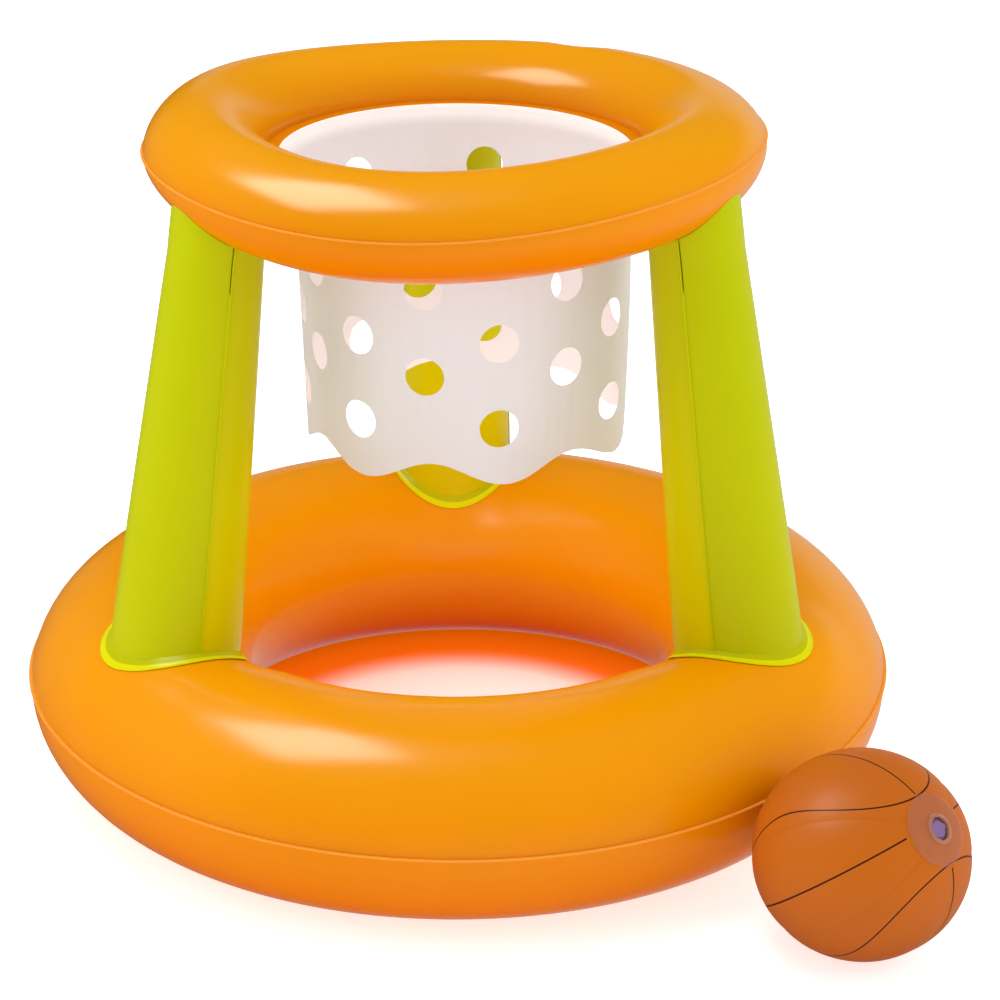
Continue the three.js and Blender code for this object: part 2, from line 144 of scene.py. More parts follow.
# The paper glows a little, as on a light table, and the base ring shades it. In and under the
# ring its colour and glow are painted orange by distance from the hoop's axis: painted shade and
# glow that stand in for the light that comes through the film.
on_paper = sheet.nodes.new("ShaderNodeMapping")
on_paper.inputs["Location"].default_value = -hoop_axis
sheet.links.new(sheet.nodes.new("ShaderNodeTexCoord").outputs["Object"], on_paper.inputs["Vector"])
from_axis = sheet.nodes.new("ShaderNodeVectorMath")
from_axis.operation = "LENGTH"
sheet.links.new(on_paper.outputs["Vector"], from_axis.inputs[0])
# Each stop is a distance from the hoop's axis and the colour there; the orange stops near the
# ring are painted shade and glow
paper_and_painted_shade_stops = {
    "Base Color": (
        (0.142, 0.92, 0.84, 0.85), (0.187, 0.9, 0.1, 0.01),
        (0.25, 0.9, 0.1, 0.01), (0.26, 0.93, 0.93, 0.925),
    ),
    "Emission Color": (
        (0.142, 0.33, 0.22, 0.18), (0.187, 0.33, 0.09, 0.0),
        (0.25, 0.33, 0.09, 0.0), (0.26, 0.65, 0.65, 0.65),
    ),
}
for socket, stops in paper_and_painted_shade_stops.items():
    by_distance = sheet.nodes.new("ShaderNodeValToRGB")
    by_distance.color_ramp.interpolation = "EASE"
    while len(by_distance.color_ramp.elements) < len(stops):
        by_distance.color_ramp.elements.new(0.5)
    for element, (distance, *colour) in zip(by_distance.color_ramp.elements, stops):
        element.position = distance
        element.color = (*colour, 1)
    sheet.links.new(from_axis.outputs["Value"], by_distance.inputs["Fac"])
    sheet.links.new(by_distance.outputs["Color"], paper.inputs[socket])
paper.inputs["Emission Strength"].default_value = 1
floor.data.materials.append(floor_paper)

# A black flag along the left keeps the white paper out of the reflections on the left edges
bpy.ops.mesh.primitive_plane_add(
    size=1, location=(-0.45, 1.05, 0.25), rotation=(0, math.pi / 2, 0), scale=(0.5, 2.3, 1),
)
flag = bpy.context.object
flag.name = "left_flag"
flag_cloth = bpy.data.materials.new("flag_cloth")
flag_cloth.use_nodes = True
black = flag_cloth.node_tree.nodes["Principled BSDF"]
black.inputs["Base Color"].default_value = (0.01, 0.01, 0.01, 1)
black.inputs["Roughness"].default_value = 1
flag.data.materials.append(flag_cloth)
flag.visible_camera = False
flag.visible_diffuse = False
flag.visible_shadow = False


# The base is a fat ring of orange vinyl, two rings of film welded along its outer and inner
# edge and blown up with air. The outer weld stands out as a thin flat lip, the inner one is
# turned in, and the film gathers in small puckers beside it. It stands on a narrow flat under
# its middle, and the leaning legs pull its crown a little up outside them and down inside. Air
# and handling leave it a little fuller and more rolled on some sides than on others.
film_wall = 0.0004
weld_gap = 0.0003
weld_lip = weld_gap / 2 + film_wall
weld_clearance = 0.00003
valve_hole_radius = 0.0091
base_ring = dict(
    weld=0.0775, radius=0.249, half_width=0.084, above=0.078, below=0.078,
    outer_lip=0.002, inner_lip=0, outer_pucker=0.00016, inner_pucker=0.0004,
    valve=(0.147298, 0.303907, 0.120002), valve_axis=(0.405849, 0.70295, 0.584079),
    full_width=0.08456, full_above=0.0804, full_below=0.0796, taper=1.083,
    roll=(5.37, 0.19, -0.54, 2.74, 0.33), grow=(0, -0.64, -4.46, 1.54, -0.64), lift=(0,),
)


def only(piece):
    bpy.ops.object.select_all(action="DESELECT")
    piece.select_set(True)
    bpy.context.view_layer.objects.active = piece


def shape(piece):
    only(piece)
    bpy.ops.object.mode_set(mode="EDIT")
    bpy.ops.mesh.select_mode(type="VERT")
    bpy.ops.mesh.select_all(action="DESELECT")


def leave():
    bpy.ops.object.mode_set(mode="OBJECT")


def pick(piece, kind, test):
    bpy.ops.mesh.select_mode(type=kind)
    bpy.ops.mesh.select_all(action="DESELECT")
    mesh = bmesh.from_edit_mesh(piece.data)
    mesh.normal_update()
    for part in {"VERT": mesh.verts, "EDGE": mesh.edges, "FACE": mesh.faces}[kind]:
        if kind == "VERT":
            place = part.co
        elif kind == "EDGE":
            place = (part.verts[0].co + part.verts[1].co) / 2
        else:
            place = part.calc_center_median()
        part.select_set(bool(test(place, part)))
    mesh.select_flush_mode()
    bmesh.update_edit_mesh(piece.data)


def press(piece, kind, **settings):
    bpy.context.view_layer.objects.active = piece
    modifier = piece.modifiers.new(kind.title(), kind)
    for setting, value in settings.items():
        setattr(modifier, setting, value)
    bpy.ops.object.modifier_apply(modifier=modifier.name)


def settle(piece):
    only(piece)
    bpy.ops.object.transform_apply(location=True, rotation=True, scale=True)


def smooth(piece, angle=35):
    only(piece)
    bpy.ops.object.shade_smooth_by_angle(angle=math.radians(angle))


# The normals of an open shell are turned so that most point away from a line along Z
def face_away(piece, axis):
    turned_out = 0
    for face in piece.data.polygons:
        side = face.center - axis
        turned_out += face.area * face.normal.dot(Vector((side.x, side.y, 0)).normalized())
    if turned_out < 0:
        piece.data.flip_normals()


def widen_loop(at, factor):
    bpy.ops.mesh.extrude_region_move()
    bpy.ops.transform.resize(value=(factor, factor, 1), center_override=at)


# Small puckers where the film runs into a weld, deepest at the weld and gone some way from it
def gather(film, ring):
    for vertex in film.data.vertices:
        flat = Vector((vertex.co.x - hoop_axis.x, vertex.co.y - hoop_axis.y, 0))
        out = (flat.length - ring["radius"]) / ring["half_width"]
        if abs(out) > 1.0001:
            continue
        rise = abs(vertex.co.z - ring["weld"])
        depth, spread = (ring["outer_pucker"], 0.012) if out > 0 else (ring["inner_pucker"], 0.02)
        near = math.exp(-(rise / spread) ** 2) * min(1, rise / 0.002)
        turn = flat.normalized()
        crease = noise.noise(turn * 17) + 0.6 * noise.noise(turn * 41)
        vertex.co -= vertex.normal * depth * near * (0.6 + crease)


def ease(share):
    share = min(1, max(0, share))
    return share * share * (3 - 2 * share)


# A constant, and then a cosine and a sine for one turn, for two turns and for three
def wave(terms, turn):
    total = terms[0]
    for order in range(1, (len(terms) + 1) // 2):
        total += terms[2 * order - 1] * math.cos(order * turn)
        total += terms[2 * order] * math.sin(order * turn)
    return total


# The nearest point on the ring's plain oval section, found in two steps
def on_moulding(place, ring, reach):
    for _ in range(2):
        flat = Vector((place.x - hoop_axis.x, place.y - hoop_axis.y, 0))
        across = (flat.length - ring["radius"]) / ring["half_width"]
        up = (place.z - ring["weld"]) / reach
        size = math.hypot(across, up)
        slope = Vector((across / ring["half_width"], up / reach)) / size
        outward = flat.normalized() * slope.x + Vector((0, 0, slope.y))
        place = place - outward * (size - 1) / slope.length_squared
    return place


# The moulded ring takes its blown-up form: its section tapers a little to the welds, and it is
# rolled by degrees and lifted and grown by millimetres round the ring, but not at its inner weld
# nor beside its valve
def swell(film, ring):
    valve = Vector(ring["valve"])
    inner = ring["radius"] - ring["half_width"]
    for vertex in film.data.vertices:
        flat = Vector((vertex.co.x - hoop_axis.x, vertex.co.y - hoop_axis.y))
        turn = math.atan2(flat.y, flat.x)
        rise = vertex.co.z - ring["weld"]
        side, reach, full = (
            (1, ring["above"], ring["full_above"]) if rise > 0
            else (-1, ring["below"], ring["full_below"])
        )
        angle = math.atan2(
            max(0, abs(rise) - weld_lip) / (reach - weld_lip),
            (flat.length - ring["radius"]) / ring["half_width"],
        )
        across = math.copysign(abs(math.cos(angle)) ** ring["taper"], math.cos(angle))
        tall = side * (weld_lip + (full - weld_lip) * math.sin(angle) ** ring["taper"])
        share = (across + 1) / 2
        across *= ring["full_width"]
        roll = math.radians(wave(ring["roll"], turn)) * ease(share)
        out = inner + ring["full_width"] + across * math.cos(roll) - tall * math.sin(roll)
        out += wave(ring["grow"], turn) / 1000 * ease(share)
        high = across * math.sin(roll) + tall * math.cos(roll)
        high += wave(ring["lift"], turn) / 1000 * ease(share / 0.35)
        place = hoop_axis + Vector((out * math.cos(turn), out * math.sin(turn), ring["weld"] + high))
        near = 1 - ease(((place - valve).length - 0.012) / 0.03)
        if near > 0:
            vertex.co = place.lerp(on_moulding(place, ring, reach), near)
        else:
            vertex.co = place


# The crown slopes up to the outside of each foot, and levels out again some way from it
def pull_to_feet(film):
    foot_out, reach, fade_over, slope = 0.2453, 0.1, 0.048, 0.108
    for azimuth in (210, 330, 90):
        out = Vector((math.cos(math.radians(azimuth)), math.sin(math.radians(azimuth)), 0))
        foot = hoop_axis + out * foot_out
        for vertex in film.data.vertices:
            away = Vector((vertex.co.x - foot.x, vertex.co.y - foot.y, 0))
            if away.length > reach:
                continue
            fade = ease((reach - away.length) / fade_over)
            fade *= min(1, (vertex.co.z - base_ring["weld"]) / 0.04)
            vertex.co.z += slope * away.dot(out) * fade


def ring_film(name, ring, side):
    at = (hoop_axis.x, hoop_axis.y, ring["weld"])
    bpy.ops.mesh.primitive_torus_add(
        major_segments=240, minor_segments=72, location=at,
        major_radius=ring["radius"], minor_radius=ring["half_width"],
    )
    film = bpy.context.object
    film.name = name
    settle(film)
    reach = ring["above"] if side > 0 else ring["below"]
    shape(film)
    bpy.ops.mesh.select_all(action="SELECT")
    bpy.ops.transform.resize(value=(1, 1, reach / ring["half_width"]), center_override=at)
    bpy.ops.mesh.bisect(
        plane_co=(at[0], at[1], at[2] + side * weld_lip), plane_no=(0, 0, side), clear_inner=True,
    )
    leave()
    gather(film, ring)
    swell(film, ring)
    if ring is base_ring and side > 0:
        pull_to_feet(film)
    shape(film)
    outer = ring["radius"] + ring["half_width"]
    inner = ring["radius"] - ring["half_width"]

    def off_axis(place):
        return math.hypot(place.x - at[0], place.y - at[1])

    pick(film, "EDGE", lambda place, edge: edge.is_boundary and off_axis(place) > ring["radius"])
    widen_loop(at, (outer + ring["outer_lip"]) / outer)
    pick(film, "FACE", lambda place, face: (
        off_axis(place) > ring["radius"] and any(edge.is_boundary for edge in face.edges)
    ))
    film.data.materials.append(None)
    film.data.materials.append(None)
    film.active_material_index = 1
    bpy.ops.object.material_slot_assign()
    pick(film, "EDGE", lambda place, edge: edge.is_boundary and off_axis(place) < inner + 0.001)
    if ring["inner_lip"]:
        for step in (1, 2, 3):
            was = inner - ring["inner_lip"] * (step - 1) / 3
            widen_loop(at, (inner - ring["inner_lip"] * step / 3) / was)
    else:
        bpy.ops.mesh.extrude_region_move()
        bpy.ops.transform.translate(value=(0, 0, -side * (weld_lip - weld_clearance)))
    pick(film, "VERT", lambda place, vertex: place.z < 0)
    bpy.ops.transform.resize(value=(1, 1, 0), center_override=(0, 0, 0))
    leave()
    return film


def cut_out(piece, cutter):
    press(piece, "BOOLEAN", operation="DIFFERENCE", object=cutter, solver="EXACT")
    bpy.data.objects.remove(cutter, do_unlink=True)


def new_material(name):
    material = bpy.data.materials.new(name)
    material.use_nodes = True
    tree = material.node_tree
    where = tree.nodes.new("ShaderNodeTexCoord").outputs["Object"]
    return material, tree, tree.nodes["Principled BSDF"], where


# A share that goes from 0 at one height to 1 at another
def by_height(tree, where, low, high):
    apart = tree.nodes.new("ShaderNodeSeparateXYZ")
    tree.links.new(where, apart.inputs[0])
    return mapped(tree, apart.outputs["Z"], (low, high))


def clouds(tree, where, scale, detail):
    node = tree.nodes.new("ShaderNodeTexNoise")
    node.inputs["Scale"].default_value = scale
    node.inputs["Detail"].default_value = detail
    tree.links.new(where, node.inputs["Vector"])
    return node.outputs["Fac"]


def two_colours(tree, share, first, second):
    node = tree.nodes.new("ShaderNodeMix")
    node.data_type = "RGBA"
    node.inputs["A"].default_value = (*first, 1)
    node.inputs["B"].default_value = (*second, 1)
    tree.links.new(share, node.inputs["Factor"])
    return node.outputs["Result"]


def bumps(tree, height, strength, distance, over=None):
    node = tree.nodes.new("ShaderNodeBump")
    node.inputs["Strength"].default_value = strength
    node.inputs["Distance"].default_value = distance
    tree.links.new(height, node.inputs["Height"])
    if over:
        tree.links.new(over, node.inputs["Normal"])
    return node.outputs["Normal"]


# Glossy soft vinyl, dyed through. Light and shade are painted into its colour by height: it is
# painted lighter on the crown, standing in for light that comes through the film, and deeper low
# down as painted shade; a faint cloudiness, a fine calendered grain and soft unevenness break its
# gloss.
def vinyl(name, crown, flank, low, high, gloss=0.2, level=0.2):
    material, tree, skin, where = new_material(name)
    # The colour is mixed by height from the flank colour to the crown colour: painted light and shade
    dye_and_painted_shade = two_colours(tree, by_height(tree, where, low, high), flank, crown)
    cloud = clouds(tree, where, 7, 3)
    tint = tree.nodes.new("ShaderNodeHueSaturation")
    tree.links.new(dye_and_painted_shade, tint.inputs["Color"])
    depth = mapped(tree, cloud, (0.3, 0.7), (0.975, 1.02), smooth=False)
    tree.links.new(depth, tint.inputs["Value"])
    tree.links.new(tint.outputs["Color"], skin.inputs["Base Color"])
    sheen = mapped(tree, cloud, (0, 1), (gloss - 0.03, gloss + 0.05), smooth=False)
    tree.links.new(sheen, skin.inputs["Roughness"])
    skin.inputs["Specular IOR Level"].default_value = level
    unevenness = bumps(tree, clouds(tree, where, 22, 2), 0.25, 0.0012)
    grain = bumps(tree, clouds(tree, where, 850, 2), 0.06, 0.0003, unevenness)
    tree.links.new(grain, skin.inputs["Normal"])
    return material


# Its crown and flank colours are painted light and shade: lighter on top, deeper low down
base_vinyl = vinyl(
    "orange_vinyl_base", (0.95, 0.355, 0.0), (0.67, 0.160, 0.0), 0.020, 0.165, 0.2, 0.15,
)
# The outer weld lips are painted pale: a painted highlight along each lip that also lifts the shade in
# the crease beside it
weld_lip_painted_light = (1.0, 0.42, 0.05)
weld_lip_painted_light_vinyl = vinyl("weld_lip_painted_light_vinyl", weld_lip_painted_light, weld_lip_painted_light, 0, 1, 0.3, 0.15)


# Both halves of a ring, the upper one with the hole for its valve
def ring_films(owner, ring, film_vinyl, hole_depth):
    films = []
    for half, side in (("upper", 1), ("lower", -1)):
        film = ring_film(f"{owner}_{half}_film", ring, side)
        if side > 0:
            bpy.ops.mesh.primitive_cylinder_add(
                vertices=48, radius=valve_hole_radius, depth=hole_depth, location=ring["valve"],
                rotation=Vector(ring["valve_axis"]).to_track_quat("Z", "Y").to_euler(),
            )
            cut_out(film, bpy.context.object)
        press(film, "SOLIDIFY", thickness=film_wall, offset=-1, use_even_offset=True)
        smooth(film)
        film.data.materials[0] = film_vinyl
        film.data.materials[1] = weld_lip_painted_light_vinyl
        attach(film, "hoop")
        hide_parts(f"{owner}_{half}_panel")
        films.append(film)
    return films


base_upper_film, base_lower_film = ring_films("base", base_ring, base_vinyl, 0.06)


# The rim is a slimmer ring made in the same way. Its inner weld is a broad flat flange, and the
# net hangs from that.
rim_ring = dict(
    weld=0.495, radius=0.1865, half_width=0.044, above=0.036, below=0.039,
    outer_lip=0.0015, inner_lip=0.010, outer_pucker=0.00012, inner_pucker=0.0004,
    valve=(0.096824, 0.216483, 0.519588), valve_axis=(0.316619, 0.5484, 0.773957),
    full_width=0.0447, full_above=0.0440, full_below=0.0335, taper=1.12,
    roll=(10.76, 10.26, -2.57, 1.63, 3.38, -0.90, -1.34), grow=(0,),
    lift=(-2.55, 0.19, 0.87, 4.35, -1.27, -1.63, -0.13),
)
# Its crown and flank colours are painted light and shade: lighter on top, deeper low down
rim_vinyl = vinyl(
    "orange_vinyl_rim", (0.87, 0.345, 0.0), (0.70, 0.165, 0.0), 0.458, 0.538, 0.2, 0.15,
)
rim_upper_film, rim_lower_film = ring_films("rim", rim_ring, rim_vinyl, 0.05)


# Three tapered legs of lime film hold the rim up. Each is a blown-up tube, an outer and an inner
# half welded along both sides, and leans in. Its head is welded to the rim round a flange turned
# in. A skirt of film with a bright brim goes round its foot and is welded to the base.
leg_stations = [
    (-0.040, 0.0484), (0.000, 0.0483), (0.004, 0.0482), (0.009, 0.0481), (0.014, 0.0479),
    (0.020, 0.0477), (0.030, 0.0474),
]
leg_stations += [
    (z, 0.0474 - (z - 0.030) * 0.0124 / 0.262)
    for z in (0.06, 0.10, 0.14, 0.18, 0.22, 0.255, 0.275, 0.287, 0.292)
]
leg_stations += [(0.2975, 0.0348), (0.301, 0.0350), (0.345, 0.0350)]
leg_tilt = math.radians(8.743)
leg_height = 0.3
leg_seam = 0.004
leg_film_wall = 0.0005
leg_weld_width = 0.0013
lime_within = 0.0520
# Each leg's name and azimuth, and how far out and aside its foot stands of its regular place
leg_places = (
    ("leg_front_left", 210, 0, 0.0015), ("leg_front_right", 330, -0.002, -0.003),
    ("leg_back", 90, -0.001, 0.0046),
)


def seat(piece, ring, film, backward, gap=0.0003):
    group = piece.vertex_groups.new(name="end")
    group.add(ring, 1, "REPLACE")
    press(
        piece, "SHRINKWRAP", target=film, wrap_method="PROJECT", vertex_group="end",
        use_project_z=True, use_negative_direction=backward, use_positive_direction=not backward,
        offset=gap,
    )
    piece.vertex_groups.clear()


def leg_tube(stand):
    bpy.ops.mesh.primitive_circle_add(
        vertices=96, radius=leg_stations[0][1], location=(0, 0, leg_stations[0][0]),
    )
    tube = bpy.context.object
    settle(tube)
    shape(tube)
    bpy.ops.mesh.select_all(action="SELECT")
    for (was_z, was_r), (z, r) in zip(leg_stations, leg_stations[1:]):
        bpy.ops.mesh.extrude_region_move()
        bpy.ops.transform.translate(value=(0, 0, z - was_z))
        bpy.ops.transform.resize(value=(r / was_r, r / was_r, 1), center_override=(0, 0, 0))
    leave()
    face_away(tube, Vector((0, 0, 0)))
    foot = [v.index for v in tube.data.vertices if v.co.z < -0.039]
    head = [v.index for v in tube.data.vertices if v.co.z > 0.344]
    tube.matrix_world = stand
    # The end rings start beyond the films, so each is first drawn back to just clear of them
    for index in foot:
        tube.data.vertices[index].co.z = 0.0
    for index in head:
        tube.data.vertices[index].co.z = 0.302
    bpy.context.view_layer.update()
    seat(tube, foot, base_upper_film, True, 0.0044)
    seat(tube, head, rim_lower_film, False, 0.0003)
    tube.matrix_world = Matrix.Identity(4)
    return tube


def leg_half(tube, side):
    half = tube.copy()
    half.data = tube.data.copy()
    bpy.context.collection.objects.link(half)
    lip = weld_clearance + leg_film_wall
    shape(half)
    bpy.ops.mesh.select_all(action="SELECT")
    bpy.ops.mesh.bisect(
        plane_co=(leg_seam + side * lip, 0, 0), plane_no=(side, 0, 0), clear_inner=True,
    )
    for across in (-1, 1):
        pick(half, "EDGE", lambda place, edge: (
            edge.is_boundary and place.y * across > 0
            and all(abs(v.co.x - leg_seam - side * lip) < 1e-5 for v in edge.verts)
        ))
        bpy.ops.mesh.extrude_region_move()
        bpy.ops.transform.translate(value=(0, across * leg_weld_width, 0))
    pick(half, "FACE", lambda place, face: abs(place.x - leg_seam - side * lip) < 1e-5)
    half.data.materials.append(None)
    half.data.materials.append(None)
    half.active_material_index = 1
    bpy.ops.object.material_slot_assign()
    leave()
    press(half, "SOLIDIFY", thickness=leg_film_wall, offset=-1)
    return half


# The rings of a foot's skirt, each by how far out it lies and how high it stands off the base
skirt_profile = (
    (0.0450, 0.0044), (0.0474, 0.0043), (0.0486, 0.0037), (0.0500, 0.0027), (0.0514, 0.0017),
    (0.0527, 0.0009), (0.0541, 0.0006), (0.0553, 0.0008),
)


# A flat ring of film that goes through these radii, held over its place and facing up
def flat_ring(radii, steps, rise, stand):
    bpy.ops.mesh.primitive_circle_add(vertices=steps, radius=radii[0])
    ring = bpy.context.object
    shape(ring)
    bpy.ops.mesh.select_all(action="SELECT")
    for was, now in zip(radii, radii[1:]):
        bpy.ops.mesh.extrude_region_move()
        bpy.ops.transform.resize(value=(now / was, now / was, 1), center_override=(0, 0, 0))
    bpy.ops.mesh.select_all(action="SELECT")
    bpy.ops.transform.translate(value=(0, 0, rise))
    leave()
    if ring.data.polygons[0].normal.z < 0:
        ring.data.flip_normals()
    ring.matrix_world = stand
    bpy.context.view_layer.update()
    return ring


def foot_ring(stand):
    ring = flat_ring([out for out, _ in skirt_profile], 120, 0.020, stand)
    seat(ring, [v.index for v in ring.data.vertices], base_upper_film, True, 0.0)
    ring.matrix_world = Matrix.Identity(4)
    for vertex in ring.data.vertices:
        out = math.hypot(vertex.co.x, vertex.co.y)
        lift = min(skirt_profile, key=lambda station: abs(station[0] - out))[1]
        ripple = noise.noise(Vector((vertex.co.x, vertex.co.y, 0)) * 60)
        vertex.co.z += lift * (1 + 0.25 * ripple)
    press(ring, "SOLIDIFY", thickness=0.0005, offset=1)
    press(ring, "BEVEL", width=0.00015, segments=2, limit_method="ANGLE")
    return ring


def leg_vinyl(name, crown, flank):
    return vinyl(name, crown, flank, 0.15, 0.47, 0.22, 0.06)


# The inner halves are painted lighter and warmer low down, a painted glow for the orange light bounced
# from the base; the weld lips are painted paler, lifting the shade of the seams. Each colour's crown
# and flank also carry the painted light and shade by height.
lime_vinyl = leg_vinyl("lime_vinyl", (0.49, 0.53, 0.0), (0.52, 0.53, 0.0))
lime_inner_painted_glow_vinyl = leg_vinyl("lime_inner_painted_glow_vinyl", (0.50, 0.52, 0.0), (0.66, 0.58, 0.0))
bright_vinyl = leg_vinyl("bright_weld_vinyl", (0.80, 0.80, 0.0), (0.78, 0.76, 0.0))
lime_seam_painted_light_vinyl = leg_vinyl("lime_seam_vinyl", (0.60, 0.63, 0.0), (0.60, 0.60, 0.0))
for leg, azimuth, step_out, step_aside in leg_places:
    stand = (
        Matrix.Translation(hoop_axis) @ Matrix.Rotation(math.radians(azimuth), 4, "Z")
        @ Matrix.Translation((0.2445 + step_out, step_aside, 0.1555))
        @ Matrix.Rotation(-leg_tilt - step_out / leg_height, 4, "Y")
        @ Matrix.Rotation(step_aside / leg_height, 4, "X")
    )
    tube = leg_tube(stand)
    for part, piece in (
        ("outer", leg_half(tube, 1)), ("inner", leg_half(tube, -1)), ("foot", foot_ring(stand)),
    ):
        piece.name = f"{leg}_{part}_film"
        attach(piece, "hoop")
        if part == "foot":
            piece.data.materials.append(bright_vinyl)
            piece.data.materials.append(lime_vinyl)
            for face in piece.data.polygons:
                face.material_index = 1 if math.hypot(*face.center.xy) < lime_within else 0
            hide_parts(f"{leg}_foot_flange")
        else:
            piece.data.materials[0] = lime_vinyl if part == "outer" else lime_inner_painted_glow_vinyl
            piece.data.materials[1] = lime_seam_painted_light_vinyl
            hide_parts(f"{leg}_{part}_panel")
        piece.matrix_world = stand
        settle(piece)
        smooth(piece, 30 if part == "foot" else 40)
    bpy.data.objects.remove(tube, do_unlink=True)
    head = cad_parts[f"{leg}_head_flange"]
    head.data.materials.clear()
    head.data.materials.append(lime_vinyl)


# The net is a sleeve of milky film, punched with round holes, that hangs from a thicker white
# band welded under the rim's flange. It is cut in seven scallops below and falls in soft folds.
net_top = 0.49225
net_length = net_top - 0.2833
net_lobes = 7
net_first_lobe = math.radians(14.4)
net_neck_drop = 0.042
net_aside = 0.008
net_hole_radius = 0.0145
net_hole_pitch = 0.0656


def milky_film(name, top_colour, low_colour, cover):
    material, tree, skin, where = new_material(name)
    # Its colour is painted whiter towards the band, a painted light
    share = by_height(tree, where, 0.479, 0.493)
    tree.links.new(two_colours(tree, share, low_colour, top_colour), skin.inputs["Base Color"])
    haze = clouds(tree, where, 14, 3)
    sheen = mapped(tree, haze, (0, 1), (0.32, 0.46), smooth=False)
    tree.links.new(sheen, skin.inputs["Roughness"])
    skin.inputs["Specular IOR Level"].default_value = 0.3
    skin.inputs["Alpha"].default_value = cover
    # A painted glow near its band stands in for light from above that comes through the film
    tree.links.new(maths(tree, "MULTIPLY", share, 0.18), skin.inputs["Emission Strength"])
    skin.inputs["Emission Color"].default_value = (1, 0.97, 1, 1)
    crinkle = bumps(tree, clouds(tree, where, 60, 3), 0.2, 0.0006)
    tree.links.new(crinkle, skin.inputs["Normal"])
    return material


# Below its neck the film hangs a little to the right and is turned a little about its axis
def net_sway(hang):
    return 1 - math.exp(-hang / 0.25)


# It also hangs a little higher on the right
def net_lift(from_front, hang):
    return (0.0014 * math.cos(from_front) + 0.0016 * math.sin(from_front)) * net_sway(hang)


def net_radius(drop):
    if drop < net_neck_drop:
        return 0.1322 - 0.0092 * (drop / net_neck_drop)
    return 0.123 - 0.005 * (drop - net_neck_drop) / (net_length - net_neck_drop)


bpy.ops.mesh.primitive_cylinder_add(
    vertices=420, radius=1, depth=1, end_fill_type="NOTHING", location=(0, 0, -0.5),
)
net_sleeve_film = bpy.context.object
net_sleeve_film.name = "net_sleeve_film"
settle(net_sleeve_film)
shape(net_sleeve_film)
for level in range(1, 64):
    bpy.ops.mesh.select_all(action="SELECT")
    bpy.ops.mesh.bisect(plane_co=(0, 0, -level / 64), plane_no=(0, 0, 1))
leave()
for vertex in net_sleeve_film.data.vertices:
    hang = -vertex.co.z
    from_front = math.atan2(vertex.co.x, -vertex.co.y)
    lobe = math.cos(net_lobes * (from_front - net_first_lobe + math.radians(1.2)))
    soft = noise.noise(Vector((vertex.co.x * 2.2, vertex.co.y * 2.2, hang * 1.4)))
    wander = noise.noise(Vector((vertex.co.x * 6, vertex.co.y * 6, hang * 0.8)))
    fold = 0.00012 * math.sin(60 * from_front + 4 * wander) * min(1, hang / 0.12)
    radius = net_radius(hang * net_length) + 0.0015 * lobe * hang + 0.0014 * soft * hang
    radius += fold + 0.004 * net_sway(hang)
    vertex.co = Vector((
        hoop_axis.x + vertex.co.x * radius + net_aside * net_sway(hang),
        hoop_axis.y + vertex.co.y * radius,
        net_top - hang * (net_length + 0.0015 + 0.0078 * lobe) + net_lift(from_front, hang),
    ))
face_away(net_sleeve_film, hoop_axis)
press(net_sleeve_film, "SOLIDIFY", thickness=0.0005, offset=-1)
punches = []
for lobe in range(net_lobes):
    for start, drop, rows in ((0, 0.0459, 3), (180 / net_lobes, 0.0717, 2)):
        for row in range(rows):
            fall = drop + row * net_hole_pitch
            sway = net_sway(fall / net_length)
            turn = net_first_lobe + math.radians(start + lobe * 360 / net_lobes)
            lift = net_lift(turn, fall / net_length)
            shift = 0.34 - 2.71 * math.cos(turn) + 1.38 * math.sin(turn)
            turn += math.radians(shift * sway)
            across = 0.1194 * math.sin(turn) - 0.0035 * sway
            along = -math.copysign(math.sqrt(0.1237 ** 2 - across ** 2), math.cos(turn))
            out = Vector((across, along, 0))
            place = hoop_axis + out + Vector((net_aside * sway, 0, rim_ring["weld"] - fall + lift))
            bpy.ops.mesh.primitive_cylinder_add(
                vertices=48, radius=net_hole_radius, depth=0.06, location=place,
                rotation=out.to_track_quat("Z", "Y").to_euler(),
            )
            punches.append(bpy.context.object)
bpy.ops.object.select_all(action="DESELECT")
for punch in punches:
    punch.select_set(True)
bpy.context.view_layer.objects.active = punches[0]
bpy.ops.object.join()
punch_set = bpy.context.object
settle(punch_set)
cut_out(net_sleeve_film, punch_set)
smooth(net_sleeve_film, 40)
# Its inside is painted paler than its outside, a painted light for the light that comes through the
# film
for name, top_colour, low_colour in (
    ("milky_net", (0.98, 0.97, 0.98), (0.86, 0.85, 0.87)),
    ("milky_inside", (1.0, 1.0, 1.0), (0.95, 0.93, 0.95)),
):
    net_sleeve_film.data.materials.append(milky_film(name, top_colour, low_colour, 0.88))
for face in net_sleeve_film.data.polygons:
    side = face.center - hoop_axis
    face.material_index = 1 if face.normal.x * side.x + face.normal.y * side.y < 0 else 0
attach(net_sleeve_film, "hoop")
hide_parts("net_sleeve")


def turned(name, profile, steps=96):
    mesh = bpy.data.meshes.new(name)
    chain = [(i, (i + 1) % len(profile)) for i in range(len(profile))]
    mesh.from_pydata([(r, 0, z) for r, z in profile], chain, [])
    piece = bpy.data.objects.new(name, mesh)
    bpy.context.collection.objects.link(piece)
    shape(piece)
    bpy.ops.mesh.select_all(action="SELECT")
    bpy.ops.mesh.spin(steps=steps, angle=2 * math.pi, center=(0, 0, 0), axis=(0, 0, 1))
    bpy.ops.mesh.select_all(action="SELECT")
    bpy.ops.mesh.remove_doubles(threshold=1e-6)
    bpy.ops.mesh.normals_make_consistent(inside=False)
    leave()
    return piece


